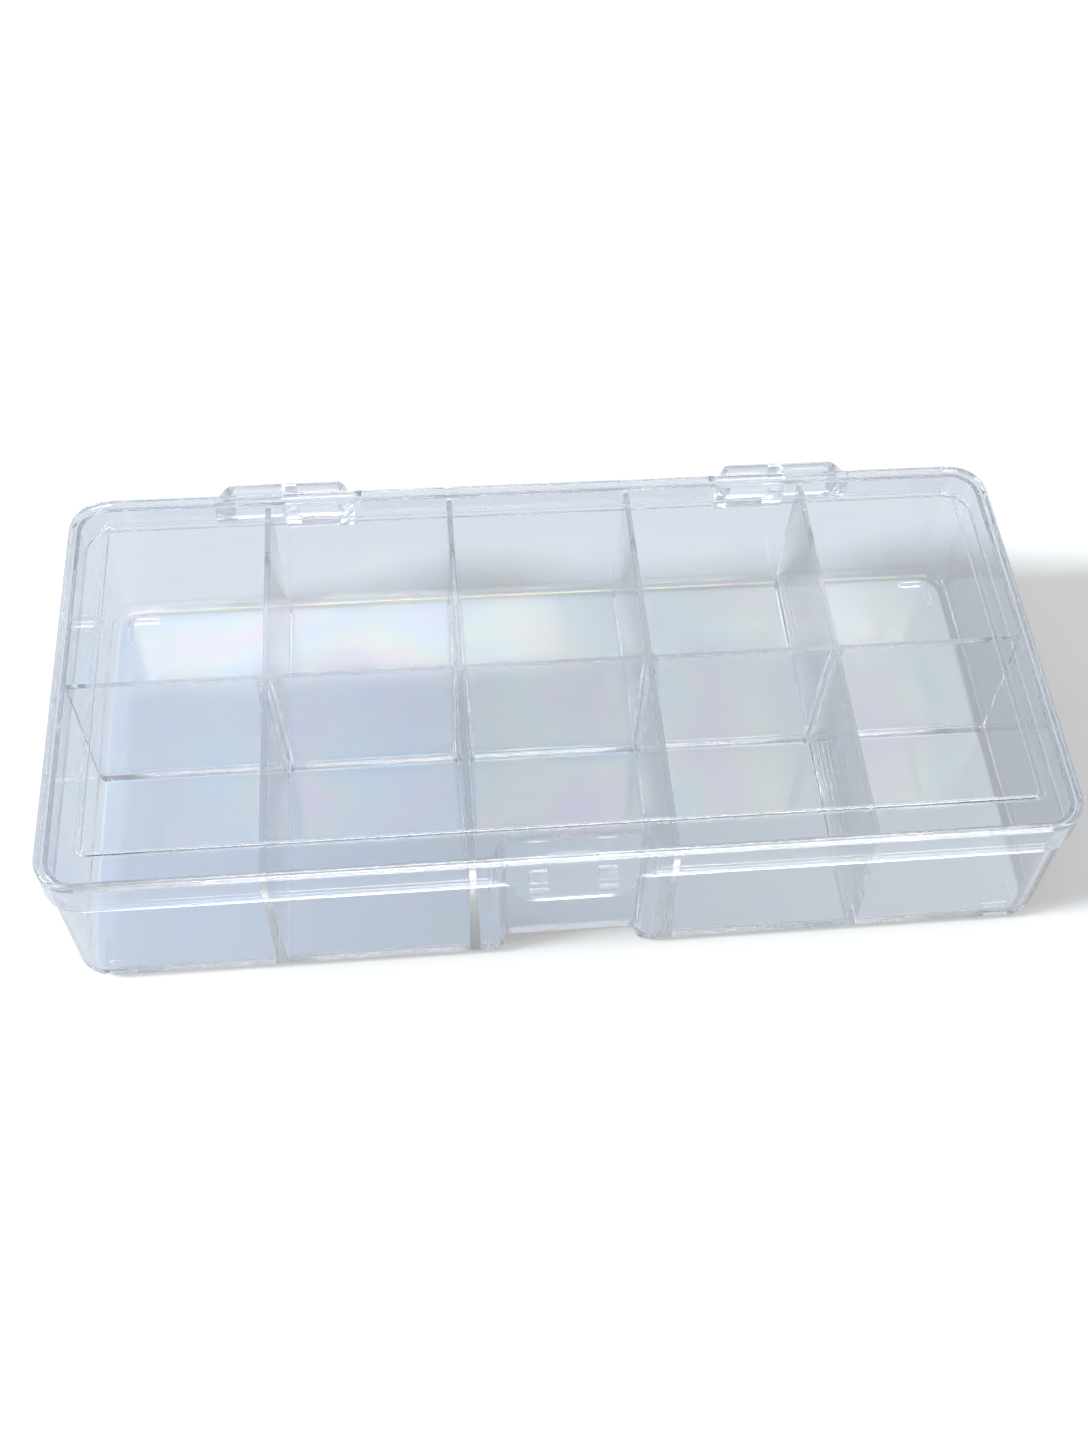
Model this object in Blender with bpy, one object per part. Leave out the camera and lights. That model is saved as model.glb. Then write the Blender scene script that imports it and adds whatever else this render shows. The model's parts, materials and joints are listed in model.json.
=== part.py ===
"""A clear hinged compartment box: a moulded tray with ten compartments and a moulded lid.

The origin is on the surface the box stands on, under the middle of its bounding box.
X runs along the length, Y from the latch to the hinges, and Z up.
"""

import math

import bmesh
import bpy
from mathutils import Matrix, Vector

MM = 0.001

# Overall sizes of the lid, which is the widest piece
lid_length = 205.0 * MM
lid_width = 99.3 * MM
lid_corner_radius = 8.0 * MM
lid_edge_radius = 0.8 * MM

# Walls of the two mouldings
floor_thickness = 1.8 * MM
wall_thickness = 1.6 * MM
lid_plate_thickness = 1.6 * MM
skirt_thickness = 1.2 * MM

# Tray: the lower wall stops at a ledge, and a thinner rim stands inside the lid's skirt
tray_height = 35.7 * MM
rim_height = 7.1 * MM
ledge_width = 0.6 * MM
tray_bottom_radius = 2.0 * MM
inner_fillet_radius = 2.0 * MM

# Fits between the mouldings
skirt_clearance = 0.3 * MM
back_rim_clearance = 0.45 * MM
back_skirt_lift = 1.1 * MM
rim_to_lid_clearance = 0.4 * MM
skirt_to_ledge_clearance = 0.3 * MM
piece_gap = 0.3 * MM

# Raised panel on the lid, with a matching recess under it
panel_inset_ends = 7.7 * MM
panel_inset_sides = 6.95 * MM
panel_height = 0.8 * MM
panel_corner_radius = 1.8 * MM
panel_edge_radius = 0.35 * MM
panel_recess_step = 1.0 * MM

# Stacking feet: an L under each corner of the tray, which sits round the lid's raised panel
foot_height = 0.8 * MM
foot_leg_length = 7.0 * MM
foot_width = 1.4 * MM
foot_clearance_ends = 0.6 * MM
foot_clearance_sides = 1.4 * MM

# Compartments: five columns in two rows
column_count = 5
divider_drop = 0.9 * MM
divider_pitch = 40.0 * MM
divider_top_thickness = 1.5 * MM
divider_foot_thickness = 2.2 * MM

# Latch: a recess in the tray's front wall, a catch ridge in it, and a tab on the lid
recess_half_width = 13.6 * MM
recess_depth = 4.2 * MM
recess_mouth_radius = 3.8 * MM
latch_wall_margin = 0.6 * MM
tab_width = 24.0 * MM
tab_drop = 6.9 * MM
tab_corner_radius = 4.6 * MM
tab_root_radius = 1.2 * MM
hook_width = 18.0 * MM
hook_proud = 1.0 * MM
hook_height = 1.8 * MM
hook_above_tab_edge = 1.2 * MM
catch_proud = 2.5 * MM
catch_height = 2.8 * MM
catch_above_hook = 0.4 * MM

# Hinges: a lid ear with a moulded pin stub outside each tray ear with a snap-in socket
hinge_centre_x = 56.8 * MM
hinge_setback = 3.55 * MM
hinge_below_lid_edge = 6.7 * MM
ear_radius = 4.0 * MM
ear_gap = 0.8 * MM
lid_ear_length = 10.7 * MM
tray_ear_length = 11.3 * MM
ear_flare = 2.8 * MM
flare_end_share = 0.7
ear_seat = 0.6 * MM
tray_ear_half_height = 3.4 * MM
lid_ear_root_above = 4.4 * MM
lid_ear_root_below = 2.3 * MM
pin_radius = 1.4 * MM
pin_reach = 2.4 * MM
socket_clearance = 0.1 * MM
socket_end_clearance = 0.5 * MM
snap_slot_width = 2.3 * MM
snap_slot_lean = math.radians(26.0)
notch_clearance = 0.5 * MM
notch_top_clearance = 0.5 * MM
notch_flare = 2.6 * MM

# Look of the clear plastic
tray_colour = (0.80, 0.85, 0.89)
divider_colour = (0.78, 0.83, 0.88)
lid_colour = (0.84, 0.88, 0.91)
tray_roughness = 0.06
divider_roughness = 0.08
lid_roughness = 0.05
tray_alpha = 0.35
divider_alpha = 0.40
lid_alpha = 0.30

# Drawing detail
corner_segments = 8
edge_segments = 3
arc_segments = 10
ear_segments = 24
round_profile = 0.5
smooth_angle = math.radians(30.0)
weld_distance = 0.001 * MM
level_tolerance = 0.01 * MM
cut_overrun = 3.0 * MM

# Levels, from the surface the box stands on
tray_bottom = foot_height
floor_top = tray_bottom + floor_thickness
rim_top = tray_bottom + tray_height
ledge_top = rim_top - rim_height
divider_top = rim_top - divider_drop
skirt_bottom = ledge_top + skirt_to_ledge_clearance
plate_bottom = rim_top + rim_to_lid_clearance
lid_edge_top = plate_bottom + lid_plate_thickness
panel_top = lid_edge_top + panel_height
tab_bottom = skirt_bottom - tab_drop
axis_height = lid_edge_top - hinge_below_lid_edge

# Plan positions, from the middle of the lid
half_length = lid_length / 2
half_width = lid_width / 2
axis_y = half_width + hinge_setback
rim_inset = skirt_thickness + skirt_clearance
rim_half_length = half_length - rim_inset
rim_front = -half_width + rim_inset
rim_back = half_width - skirt_thickness - back_rim_clearance
tray_half_length = rim_half_length + ledge_width
tray_front = rim_front - ledge_width
tray_back = rim_back + ledge_width
cavity_half_length = tray_half_length - wall_thickness
cavity_front = tray_front + wall_thickness
cavity_back = tray_back - wall_thickness
rim_corner_radius = lid_corner_radius - rim_inset
tray_corner_radius = rim_corner_radius + ledge_width
cavity_corner_radius = tray_corner_radius - wall_thickness
recess_floor_y = tray_front + recess_depth
latch_wall_half_width = recess_half_width + recess_mouth_radius + latch_wall_margin
latch_wall_back = recess_floor_y + wall_thickness + latch_wall_margin
panel_half_length = half_length - panel_inset_ends
panel_half_width = half_width - panel_inset_sides

# The bounding box runs back to the ears, so its middle lies behind the middle of the lid
box_shift = -(axis_y + ear_radius - half_width) / 2


def clear_scene():
    for old in list(bpy.data.objects):
        bpy.data.objects.remove(old, do_unlink=True)


def make_collection(name):
    collection = bpy.data.collections.new(name)
    bpy.context.scene.collection.children.link(collection)
    return collection


def make_material(name, colour, roughness, alpha):
    material = bpy.data.materials.new(name)
    material.use_nodes = True
    shader = material.node_tree.nodes["Principled BSDF"]
    shader.inputs["Base Color"].default_value = (*colour, 1.0)
    shader.inputs["Roughness"].default_value = roughness
    shader.inputs["Metallic"].default_value = 0.0
    shader.inputs["Alpha"].default_value = alpha
    material.diffuse_color = (*colour, alpha)
    return material


def add_object(name, mesh, collection):
    obj = bpy.data.objects.new(name, mesh)
    collection.objects.link(obj)
    obj.parent = box_root
    return obj


def as_cutter(obj):
    obj.hide_render = True
    obj.display_type = "WIRE"
    return obj


def add_boolean(target, other, operation):
    modifier = target.modifiers.new(f"{operation.lower()} {other.name}", "BOOLEAN")
    modifier.operation = operation
    modifier.solver = "EXACT"
    modifier.object = other


def cut(target, *cutters):
    for cutter in cutters:
        add_boolean(target, cutter, "DIFFERENCE")


def join(target, *pieces):
    for piece in pieces:
        add_boolean(target, piece, "UNION")


def keep_inside(target, shape):
    add_boolean(target, shape, "INTERSECT")


def arc(centre, radius, start, end, segments=arc_segments):
    """Points round a centre, from one angle in degrees to another."""
    angles = [math.radians(start + (end - start) * i / segments) for i in range(segments + 1)]
    return [(centre[0] + radius * math.cos(a), centre[1] + radius * math.sin(a)) for a in angles]


def level_edges(bm, level):
    return [e for e in bm.edges if all(abs(v.co.z - level) < level_tolerance for v in e.verts)]


def bevel(bm, edges, radius, segments):
    bmesh.ops.bevel(
        bm, geom=edges, offset=radius, segments=segments, profile=round_profile, affect="EDGES"
    )


def cuboid(low, high):
    bm = bmesh.new()
    bmesh.ops.create_cube(bm, size=1.0)
    bmesh.ops.scale(bm, vec=Vector(high) - Vector(low), verts=bm.verts)
    bmesh.ops.translate(bm, vec=(Vector(high) + Vector(low)) / 2, verts=bm.verts)
    return bm


def helper(name, bm):
    mesh = bpy.data.meshes.new(name)
    bm.to_mesh(mesh)
    bm.free()
    return as_cutter(add_object(name, mesh, helpers))


def block(name, low, high, corner=0.0, bottom=0.0, top=0.0):
    """A box between two corners, with its upright edges, lower rim and upper rim rounded."""
    bm = cuboid(low, high)
    if corner:
        half = (high[2] - low[2]) / 2
        upright = [e for e in bm.edges if abs(e.verts[0].co.z - e.verts[1].co.z) > half]
        bevel(bm, upright, corner, corner_segments)
    for level, radius in ((low[2], bottom), (high[2], top)):
        if radius:
            bevel(bm, level_edges(bm, level), radius, edge_segments)
    bmesh.ops.recalc_face_normals(bm, faces=bm.faces)
    return helper(name, bm)


def cylinder(name, radius, start, end):
    """A cylinder along X between two points."""
    bm = bmesh.new()
    length = (Vector(end) - Vector(start)).length
    bmesh.ops.create_cone(
        bm, cap_ends=True, segments=ear_segments, radius1=radius, radius2=radius, depth=length
    )
    bmesh.ops.rotate(bm, verts=bm.verts, matrix=Matrix.Rotation(math.radians(90.0), 3, "Y"))
    bmesh.ops.translate(bm, vec=(Vector(start) + Vector(end)) / 2, verts=bm.verts)
    return helper(name, bm)


plan_view = Matrix.Identity(4)
front_view = Matrix(((1, 0, 0, 0), (0, 0, -1, 0), (0, 1, 0, 0), (0, 0, 0, 1)))
side_view = Matrix(((0, 0, 1, 0), (1, 0, 0, 0), (0, 1, 0, 0), (0, 0, 0, 1)))


def prism(name, outline, view, start, end):
    """A flat outline, drawn in one view, that runs through the depth from start to end.

    The depth runs along Z in plan view, along -Y in front view and along X in side view.
    """
    curve = bpy.data.curves.new(name, "CURVE")
    curve.dimensions = "2D"
    curve.fill_mode = "BOTH"
    curve.extrude = (end - start) / 2
    spline = curve.splines.new("POLY")
    spline.points.add(len(outline) - 1)
    for point, (u, v) in zip(spline.points, outline):
        point.co = (u, v, 0.0, 1.0)
    spline.use_cyclic_u = True
    drawn = add_object(name + "_outline", curve, helpers)
    bpy.context.view_layer.update()
    graph = bpy.context.evaluated_depsgraph_get()
    mesh = bpy.data.meshes.new_from_object(drawn.evaluated_get(graph))
    bpy.data.objects.remove(drawn, do_unlink=True)
    bm = bmesh.new()
    bm.from_mesh(mesh)
    bpy.data.meshes.remove(mesh)
    bmesh.ops.remove_doubles(bm, verts=bm.verts, dist=weld_distance)
    bmesh.ops.recalc_face_normals(bm, faces=bm.faces)
    bm.transform(view @ Matrix.Translation((0.0, 0.0, (start + end) / 2)))
    return helper(name, bm)


def finish(obj, material, parent):
    """Turns a built shape into a visible piece of the box."""
    helpers.objects.unlink(obj)
    parts.objects.link(obj)
    obj.hide_render = False
    obj.display_type = "TEXTURED"
    obj.data.materials.append(material)
    obj.data.shade_smooth()
    obj.data.set_sharp_from_angle(angle=smooth_angle)
    obj.parent = parent
    obj.location = -parent.location if parent is lid_pivot else Vector((0.0, 0.0, 0.0))
    return obj


def empty(name, location, parent=None):
    obj = bpy.data.objects.new(name, None)
    parts.objects.link(obj)
    obj.location = location
    obj.parent = parent
    return obj


def recess_outline(wall):
    """Plan outline of the latch recess, grown by a wall for the side that faces the inside."""
    side = recess_half_width + wall
    depth = recess_floor_y + wall
    radius = recess_mouth_radius - wall
    mouth = tray_front + wall
    swing = (side + radius, mouth + radius)
    right = arc(swing, radius, 270.0, 180.0)
    outline = [(side + radius, mouth - cut_overrun)] + right
    outline += [(side, depth)]
    left = [(-x, y) for x, y in reversed(outline)]
    return outline + left


def tray_shell(name):
    """The floor, the walls with their ledge and rim, and the latch recess."""
    shell = block(
        name,
        (-tray_half_length, tray_front, tray_bottom),
        (tray_half_length, tray_back, ledge_top),
        tray_corner_radius,
        bottom=tray_bottom_radius,
    )
    rim = block(
        name + "_rim",
        (-rim_half_length, rim_front, floor_top),
        (rim_half_length, rim_back, rim_top),
        rim_corner_radius,
    )
    recess = prism(
        name + "_recess", recess_outline(0.0), plan_view, -cut_overrun, rim_top + cut_overrun
    )
    cavity = block(
        name + "_cavity",
        (-cavity_half_length, cavity_front, floor_top),
        (cavity_half_length, cavity_back, rim_top + cut_overrun),
        cavity_corner_radius,
        bottom=inner_fillet_radius,
    )
    inner_recess = prism(
        name + "_recess_wall",
        recess_outline(wall_thickness),
        plan_view,
        tray_bottom - cut_overrun,
        rim_top + 2 * cut_overrun,
    )
    cut(cavity, inner_recess)
    join(shell, rim)
    cut(shell, recess, cavity)
    return shell


def latch_zone(name, gap):
    """The stretch of the front wall and floor round the latch recess."""
    half = latch_wall_half_width + gap
    low = (-half, tray_front - cut_overrun, -cut_overrun)
    return block(name, low, (half, latch_wall_back + gap, rim_top + cut_overrun))


def foot(name, x_side, y_side):
    """An L round one corner of the raised panel of the box underneath."""
    x0 = half_length - panel_inset_ends + foot_clearance_ends
    y0 = half_width - panel_inset_sides + foot_clearance_sides
    x1 = x0 + foot_width
    y1 = y0 + foot_width
    outline = [
        (x0, y0),
        (x1 - foot_leg_length, y0),
        (x1 - foot_leg_length, y1),
        (x1, y1),
        (x1, y1 - foot_leg_length),
        (x0, y1 - foot_leg_length),
    ]
    outline = [(x * x_side, y * y_side) for x, y in outline]
    return prism(name, outline, plan_view, 0.0, tray_bottom + floor_thickness / 2)


def ear_profile(root_y, root_below, root_above):
    """Side view of an ear: round about the hinge axis, and carried back to a root."""
    round_end = arc((axis_y, axis_height), ear_radius, -90.0, 90.0, ear_segments // 2)
    return [(root_y, axis_height - root_below)] + round_end + [(root_y, axis_height + root_above)]


def ear_plan(start_x, end_x, root_y):
    """Plan view of an ear: square at its start, and flared out to its root at its end."""
    outward = 1.0 if end_x > start_x else -1.0
    tip_y = axis_y + ear_radius + cut_overrun
    bend_y = axis_y + flare_end_share * ear_radius
    return [
        (start_x, root_y - ear_seat),
        (end_x + outward * ear_flare, root_y - ear_seat),
        (end_x + outward * ear_flare, root_y),
        (end_x, bend_y),
        (end_x, tip_y),
        (start_x, tip_y),
    ]


def tray_ear(name, side):
    """The inner ear of one hinge, with the socket that the lid's pin snaps into."""
    face_x = hinge_centre_x - ear_gap / 2
    ear = prism(
        name,
        ear_profile(rim_back - ear_seat, tray_ear_half_height, tray_ear_half_height),
        side_view,
        -half_length,
        half_length,
    )
    plan = [(side * x, y) for x, y in ear_plan(face_x, face_x - tray_ear_length, rim_back)]
    keep_inside(ear, prism(name + "_plan", plan, plan_view, 0.0, panel_top + cut_overrun))
    socket_depth = pin_reach + socket_end_clearance
    socket = cylinder(
        name + "_socket",
        pin_radius + socket_clearance,
        (side * (face_x - socket_depth), axis_y, axis_height),
        (side * (face_x + cut_overrun), axis_y, axis_height),
    )
    reach = ear_radius + cut_overrun
    half = snap_slot_width / 2
    slot = [(-half, 0.0), (half, 0.0), (half, reach), (-half, reach)]
    lean = Matrix.Rotation(-snap_slot_lean, 2)
    turned = [lean @ Vector(point) for point in slot]
    outline = [(axis_y + point.x, axis_height + point.y) for point in turned]
    ends = sorted((side * (face_x - pin_reach), side * (face_x + cut_overrun)))
    cut(ear, socket, prism(name + "_slot", outline, side_view, *ends))
    return ear


def catch_ridge():
    """The wedge in the recess that the tab's hook snaps under."""
    hook_top = tab_bottom + hook_above_tab_edge + hook_height
    low = hook_top + catch_above_hook
    high = low + catch_height
    tip = recess_floor_y - catch_proud
    seat = recess_floor_y + wall_thickness / 2
    outline = [(seat, low), (tip + catch_above_hook, low), (tip, low + catch_above_hook)]
    outline += [(tip, low + catch_above_hook * 2), (recess_floor_y, high), (seat, high)]
    return prism("catch_ridge", outline, side_view, -hook_width / 2, hook_width / 2)


def base_tray(material, parent):
    tray = tray_shell("base_tray")
    cut(tray, latch_zone("latch_wall_gap", piece_gap))
    for x_side in (-1.0, 1.0):
        for y_side in (-1.0, 1.0):
            name = f"foot_{'left' if x_side < 0 else 'right'}_{'front' if y_side < 0 else 'back'}"
            join(tray, foot(name, x_side, y_side))
    join(tray, tray_ear("tray_ear_left", -1.0), tray_ear("tray_ear_right", 1.0))
    return finish(tray, material, parent)


def latch_wall(material, parent):
    """The front wall's middle, with the recess and the catch ridge, as a piece of its own."""
    wall = tray_shell("latch_wall")
    keep_inside(wall, latch_zone("latch_wall_zone", 0.0))
    join(wall, catch_ridge())
    return finish(wall, material, parent)


def divider_plate(name, low, high, across):
    """An upright plate, thinner at its top, trimmed to the tray's rounded inside."""
    bm = cuboid(low, high)
    middle = (low[across] + high[across]) / 2
    for vert in bm.verts:
        if vert.co.z > ledge_top:
            offset = vert.co[across] - middle
            vert.co[across] = middle + offset * divider_top_thickness / divider_foot_thickness
    plate = helper(name, bm)
    keep_inside(plate, bpy.data.objects["divider_trim"])
    return plate


def divider_trim():
    """The inside of the tray, less the gap that separate pieces keep."""
    return block(
        "divider_trim",
        (-cavity_half_length + piece_gap, cavity_front + piece_gap, floor_top + piece_gap),
        (cavity_half_length - piece_gap, cavity_back - piece_gap, rim_top),
        cavity_corner_radius - piece_gap,
        bottom=inner_fillet_radius - piece_gap,
    )


def long_divider(material, parent):
    half = divider_foot_thickness / 2
    low = (-half_length, -half, tray_bottom)
    high = (half_length, half, divider_top)
    return finish(divider_plate("long_divider", low, high, 1), material, parent)


def cross_dividers(material, parent):
    """Four plates in each row, which run from the long divider to the outer walls."""
    half = divider_foot_thickness / 2
    first = -divider_pitch * (column_count - 2) / 2
    rows = (("front", -half_width, -half - piece_gap), ("back", half + piece_gap, half_width))
    for number in range(1, column_count):
        x = first + divider_pitch * (number - 1)
        for row, near, far in rows:
            low = (x - half, near, tray_bottom)
            high = (x + half, far, divider_top)
            plate = divider_plate(f"{row}_divider_{number}", low, high, 0)
            finish(plate, material, parent)


def tab_trim_outline():
    """Front view of what is cut from under the skirt's front, which leaves the tab."""
    side = tab_width / 2
    low = tab_bottom - 2 * cut_overrun
    wide = half_length + cut_overrun
    right = [(wide, low), (wide, skirt_bottom)]
    right += arc((side + tab_root_radius, skirt_bottom - tab_root_radius), tab_root_radius, 90.0, 180.0)
    right += arc((side - tab_corner_radius, tab_bottom + tab_corner_radius), tab_corner_radius, 0.0, -90.0)
    left = [(-x, z) for x, z in reversed(right)]
    return right + left


def lid_shell():
    """The plate with its raised panel, the skirt and the latch tab."""
    shell = block(
        "lid",
        (-half_length, -half_width, tab_bottom - cut_overrun),
        (half_length, half_width, lid_edge_top),
        lid_corner_radius,
        top=lid_edge_radius,
    )
    panel = block(
        "panel_shape",
        (-panel_half_length, -panel_half_width, plate_bottom + lid_plate_thickness / 2),
        (panel_half_length, panel_half_width, panel_top),
        panel_corner_radius,
        top=panel_edge_radius,
    )
    inside = block(
        "lid_inside_cutter",
        (-half_length + skirt_thickness, -half_width + skirt_thickness, tab_bottom - 2 * cut_overrun),
        (half_length - skirt_thickness, half_width - skirt_thickness, plate_bottom),
        lid_corner_radius - skirt_thickness,
    )
    recess_half_length = panel_half_length - panel_recess_step
    recess_half_breadth = panel_half_width - panel_recess_step
    recess = block(
        "panel_recess_cutter",
        (-recess_half_length, -recess_half_breadth, ledge_top),
        (recess_half_length, recess_half_breadth, plate_bottom + panel_height),
        panel_corner_radius,
        top=panel_edge_radius,
    )
    strip_back = -half_width + lid_corner_radius + cut_overrun
    trim = prism(
        "tab_trim", tab_trim_outline(), front_view, -strip_back, half_width + cut_overrun
    )
    under = block(
        "skirt_trim",
        (-half_length - cut_overrun, strip_back - cut_overrun, tab_bottom - 2 * cut_overrun),
        (half_length + cut_overrun, half_width + cut_overrun, skirt_bottom),
    )
    lift = block(
        "back_skirt_trim",
        (-half_length + lid_corner_radius, 0.0, tab_bottom - 2 * cut_overrun),
        (half_length - lid_corner_radius, half_width + cut_overrun, skirt_bottom + back_skirt_lift),
    )
    join(shell, panel)
    cut(shell, inside, recess, trim, under, lift)
    return shell


def tab_hook():
    """The ridge inside the tab that snaps under the catch."""
    low = tab_bottom + hook_above_tab_edge
    high = low + hook_height
    face = -half_width + skirt_thickness
    outline = [(face - skirt_thickness / 2, low), (face, low), (face + hook_proud, (low + high) / 2)]
    outline += [(face + hook_proud, high), (face - skirt_thickness / 2, high)]
    return prism("tab_hook", outline, side_view, -hook_width / 2, hook_width / 2)


def lid_ear(name, side):
    """The outer ear of one hinge, and its pin stub."""
    face_x = hinge_centre_x + ear_gap / 2
    ear = prism(
        name,
        ear_profile(half_width - ear_seat, lid_ear_root_below, lid_ear_root_above),
        side_view,
        -half_length,
        half_length,
    )
    plan = [(side * x, y) for x, y in ear_plan(face_x, face_x + lid_ear_length, half_width)]
    keep_inside(ear, prism(name + "_plan", plan, plan_view, 0.0, panel_top + cut_overrun))
    pin = cylinder(
        name + "_pin",
        pin_radius,
        (side * (face_x - ear_gap - pin_reach), axis_y, axis_height),
        (side * (face_x + lid_ear_length / 2), axis_y, axis_height),
    )
    join(ear, pin)
    return ear


def skirt_notch(name, side):
    """The arch in the lid's back skirt that a tray ear passes through."""
    outer = hinge_centre_x - ear_gap / 2 + notch_clearance
    inner = hinge_centre_x - ear_gap / 2 - tray_ear_length - ear_flare - notch_clearance
    top = axis_height + tray_ear_half_height + notch_top_clearance
    low = skirt_bottom - cut_overrun
    outline = [(outer, low), (outer, top), (inner, top), (inner - notch_flare, skirt_bottom)]
    outline += [(inner - notch_flare, low)]
    outline = [(side * x, z) for x, z in outline]
    start = -(half_width + cut_overrun)
    end = -(half_width - skirt_thickness - cut_overrun / 2)
    return prism(name, outline, front_view, start, end)


def lid(material, parent):
    shell = lid_shell()
    for name, side in (("left", -1.0), ("right", 1.0)):
        cut(shell, skirt_notch(f"notch_{name}", side))
        join(shell, lid_ear(f"lid_ear_{name}", side))
    join(shell, tab_hook())
    return finish(shell, material, parent)


clear_scene()
parts = make_collection("compartment_organizer_box")
helpers = make_collection("cutters")
box_root = empty("box_root", (0.0, box_shift, 0.0))
lid_pivot = empty("lid_pivot", (0.0, axis_y, axis_height), box_root)

clear_tray = make_material("clear_plastic_tray", tray_colour, tray_roughness, tray_alpha)
clear_divider = make_material(
    "clear_plastic_divider", divider_colour, divider_roughness, divider_alpha
)
clear_lid = make_material("clear_plastic_lid", lid_colour, lid_roughness, lid_alpha)

base_tray(clear_tray, box_root)
latch_wall(clear_tray, box_root)
divider_trim()
long_divider(clear_divider, box_root)
cross_dividers(clear_divider, box_root)
lid(clear_lid, lid_pivot)
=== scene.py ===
"""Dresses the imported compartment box: one clear moulding for the tray, one for the lid."""

import json
import math

import bmesh
import bpy
from mathutils import Matrix, Vector


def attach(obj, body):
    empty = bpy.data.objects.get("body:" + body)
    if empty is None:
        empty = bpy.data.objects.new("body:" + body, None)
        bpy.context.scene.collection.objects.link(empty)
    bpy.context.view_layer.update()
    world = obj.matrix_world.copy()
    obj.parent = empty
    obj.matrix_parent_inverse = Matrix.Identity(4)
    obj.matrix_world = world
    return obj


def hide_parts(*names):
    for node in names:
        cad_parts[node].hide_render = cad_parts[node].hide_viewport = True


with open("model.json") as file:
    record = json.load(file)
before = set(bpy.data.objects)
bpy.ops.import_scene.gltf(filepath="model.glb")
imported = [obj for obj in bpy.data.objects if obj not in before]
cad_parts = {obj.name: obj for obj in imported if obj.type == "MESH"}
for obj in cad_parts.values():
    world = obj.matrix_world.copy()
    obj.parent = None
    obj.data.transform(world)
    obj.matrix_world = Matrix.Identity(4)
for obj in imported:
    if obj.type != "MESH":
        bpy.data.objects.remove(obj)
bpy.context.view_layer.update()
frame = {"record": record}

MM = 0.001

# Sizes that repeat the solids. Heights start at the surface the box stands on, and the other
# places at the middle of the lid.
half_length = 102.5 * MM
half_width = 49.65 * MM
lid_corner = 8.0 * MM
skirt = 1.2 * MM
wall = 1.6 * MM
lid_plate = 1.6 * MM
floor_thickness = 1.8 * MM
foot_height = 0.8 * MM
tray_height = 35.7 * MM
rim_height = 7.1 * MM
ledge = 0.6 * MM
skirt_clearance = 0.3 * MM
back_clearance = 0.45 * MM
plate_clearance = 0.4 * MM
ledge_clearance = 0.3 * MM
back_skirt_lift = 1.1 * MM
divider_drop = 0.9 * MM
divider_foot_half = 1.1 * MM
divider_xs = (-60.0 * MM, -20.0 * MM, 20.0 * MM, 60.0 * MM)
column_count = len(divider_xs) + 1
panel_inset_ends = 7.7 * MM
panel_inset_sides = 6.95 * MM
panel_height = 0.8 * MM
recess_half = 13.6 * MM
recess_depth = 4.2 * MM
recess_mouth = 3.8 * MM
recess_corner = 1.0 * MM
tab_drop = 6.9 * MM
hinge_setback = 3.55 * MM
hinge_drop = 6.7 * MM
ear_radius = 4.0 * MM
ear_seat = 0.6 * MM

# Places worked out from them
floor_bottom = foot_height
floor_top = floor_bottom + floor_thickness
rim_top = floor_bottom + tray_height
ledge_top = rim_top - rim_height
divider_top = rim_top - divider_drop
plate_bottom = rim_top + plate_clearance
lid_edge_top = plate_bottom + lid_plate
panel_top = lid_edge_top + panel_height
skirt_bottom = ledge_top + ledge_clearance
tab_bottom = skirt_bottom - tab_drop
axis_y = half_width + hinge_setback
axis_z = lid_edge_top - hinge_drop
tray_half_length = half_length - skirt - skirt_clearance + ledge
tray_front = -(half_width - skirt - skirt_clearance + ledge)
tray_back = half_width - skirt - back_clearance + ledge
tray_corner = lid_corner - half_length + tray_half_length
recess_y = tray_front + recess_depth
# From the middle of the lid to the middle of the whole box, ears included
box_shift = (half_width - axis_y - ear_radius) / 2

# Fine shape that only this script has
small_round = 0.2 * MM
bottom_radius = 2.0 * MM
catch_start = 5.0 * MM
catch_end = 9.0 * MM

# How far cutters reach past a face, and the heights and depths at which they start or end
overrun = 3.0 * MM
behind_box = -60.0 * MM
before_back_skirt = -47.0 * MM
below_skirt = 20.0 * MM
above_box = 50.0 * MM
far_above_box = 60.0 * MM

# How finely round shapes are drawn
corner_steps = 16
arc_steps = 12
bottom_steps = 7
lip_steps = 3
ear_steps = 24
tube_steps = 32
soft_segments = 3
round_profile = 0.5
flat_angle = math.radians(1.0)
prism_edge_angle = math.radians(40.0)
trimmed_edge_angle = math.radians(30.0)
smooth_angle = math.radians(35.0)
twist_limit = math.radians(0.3)
merge_distance = 0.002 * MM

drafts = []


# Shapes
def new_object(name, bm):
    bmesh.ops.recalc_face_normals(bm, faces=bm.faces)
    mesh = bpy.data.meshes.new(name)
    bm.to_mesh(mesh)
    bm.free()
    obj = bpy.data.objects.new(name, mesh)
    bpy.context.scene.collection.objects.link(obj)
    drafts.append(obj)
    return obj


def round_rect(x0, x1, y0, y1, radius, z, steps=corner_steps):
    """Points round a rectangle with rounded corners, all at one height."""
    points = []
    for cx, cy, start in (
        (x1 - radius, y1 - radius, 0.0),
        (x0 + radius, y1 - radius, 90.0),
        (x0 + radius, y0 + radius, 180.0),
        (x1 - radius, y0 + radius, 270.0),
    ):
        for i in range(steps + 1):
            a = math.radians(start + 90.0 * i / steps)
            points.append((cx + radius * math.cos(a), cy + radius * math.sin(a), z))
    return points


def add_sides(bm, low, high):
    """Joins two rows of vertices that each go round once."""
    count = len(low)
    for i in range(count):
        j = (i + 1) % count
        bm.faces.new((low[i], low[j], high[j], high[i]))


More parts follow.
